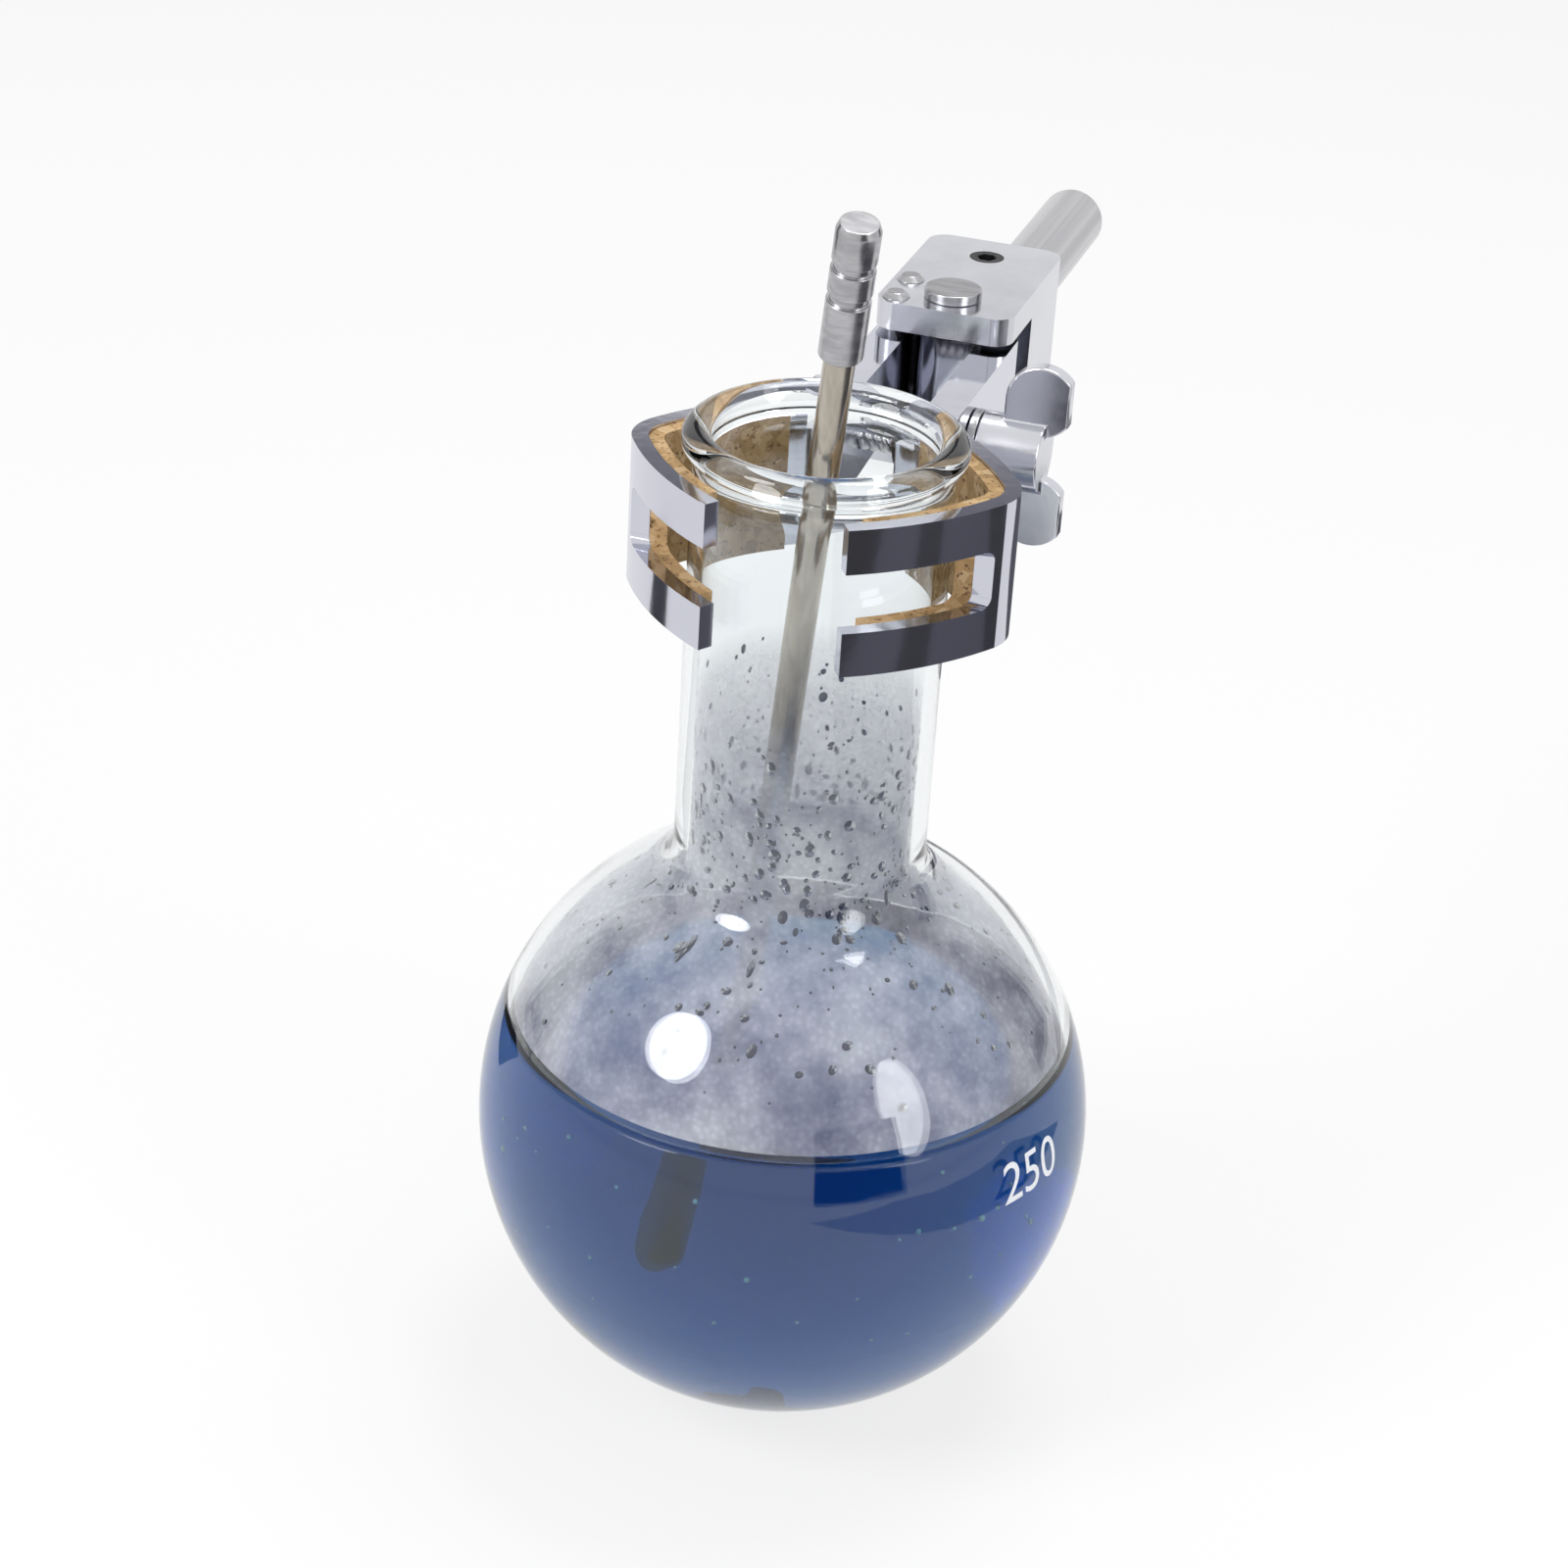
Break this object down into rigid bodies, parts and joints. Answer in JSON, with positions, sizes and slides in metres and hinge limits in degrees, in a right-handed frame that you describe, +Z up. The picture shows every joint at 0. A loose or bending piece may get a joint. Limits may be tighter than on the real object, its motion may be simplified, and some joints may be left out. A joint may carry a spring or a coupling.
{
  "type": "round bottom flask",
  "caption": "Round bottom glass flask part filled with blue solution, with a magnetic stirring bar and temperature probe, gripped at the neck by a cork-lined V-jaw clamp on a rod.",
  "frame": {"origin": "lowest point of the bulb, on the flask's axis", "axes": "+Z up the flask's axis through the mouth, +Y back along the clamp rod towards the stand, +X to the side of the moving jaw"},
  "size_m": [0.085, 0.1779, 0.1806],
  "materials": {
    "borosilicate_glass": "clear fire-polished borosilicate glass",
    "blue_solution": "clear deep blue liquid",
    "white_ptfe": "smooth waxy white PTFE",
    "magnet": "sintered magnet",
    "probe_steel": "drawn and ground stainless steel",
    "sensor_ceramic": "ceramic element and insulated leads",
    "clamp_chrome": "bright chrome plate over die casting",
    "cork": "natural cork sheet",
    "bright_steel": "turned bright steel",
    "black_steel": "black oxide steel",
    "white_nylon": "moulded nylon"
  },
  "bodies": {
    "flask_and_frame": {"flask_glass": "borosilicate_glass", "solution": "blue_solution", "left_jaw": "clamp_chrome", "left_cork": "cork", "clamp_hub": "clamp_chrome", "clamp_rod": "bright_steel", "rod_set_screw": "black_steel", "jaw_rivets": "bright_steel", "pivot_pin": "bright_steel", "pivot_washers": "white_nylon", "pivot_clip": "black_steel"},
    "moving_jaw": {"right_jaw": "clamp_chrome", "right_cork": "cork"},
    "screw_washer": {"thrust_washer": "bright_steel"},
    "wing_screw": {"clamp_screw": "bright_steel", "screw_wing": "clamp_chrome", "retaining_ring": "black_steel"},
    "stir_bar": {"stir_bar_jacket": "white_ptfe", "stir_bar_magnet": "magnet"},
    "probe": {"probe_sheath": "probe_steel", "probe_sensor": "sensor_ceramic", "probe_core": "sensor_ceramic", "probe_sleeve": "bright_steel"}
  },
  "joints": [
    {"name": "jaw_open", "type": "hinge", "parent": "flask_and_frame", "child": "moving_jaw", "pos_m": [0, 0.06, 0.1305], "axis": [0, 0, 1], "range_deg": [0, 14]},
    {"name": "washer_travel", "type": "slide", "parent": "flask_and_frame", "child": "screw_washer", "axis": [1, 0, 0], "range_m": [0, 0.0075]},
    {"name": "screw_turn", "type": "hinge", "parent": "screw_washer", "child": "wing_screw", "pos_m": [0, 0.037, 0.1305], "axis": [1, 0, 0], "range_deg": [0, 900]},
    {"name": "stir_spin", "type": "hinge", "parent": "flask_and_frame", "child": "stir_bar", "pos_m": [0, 0, 0.00731], "axis": [0, 0, 1], "continuous": true},
    {"name": "probe_lift", "type": "slide", "parent": "flask_and_frame", "child": "probe", "axis": [0.1336, -0.2314, 0.9636], "range_m": [0, 0.16]}
  ],
  "couplings": [
    {"joint": "washer_travel", "follows": "jaw_open", "m_per_rad": 0.0305},
    {"joint": "screw_turn", "follows": "jaw_open", "ratio": 63.879}
  ]
}
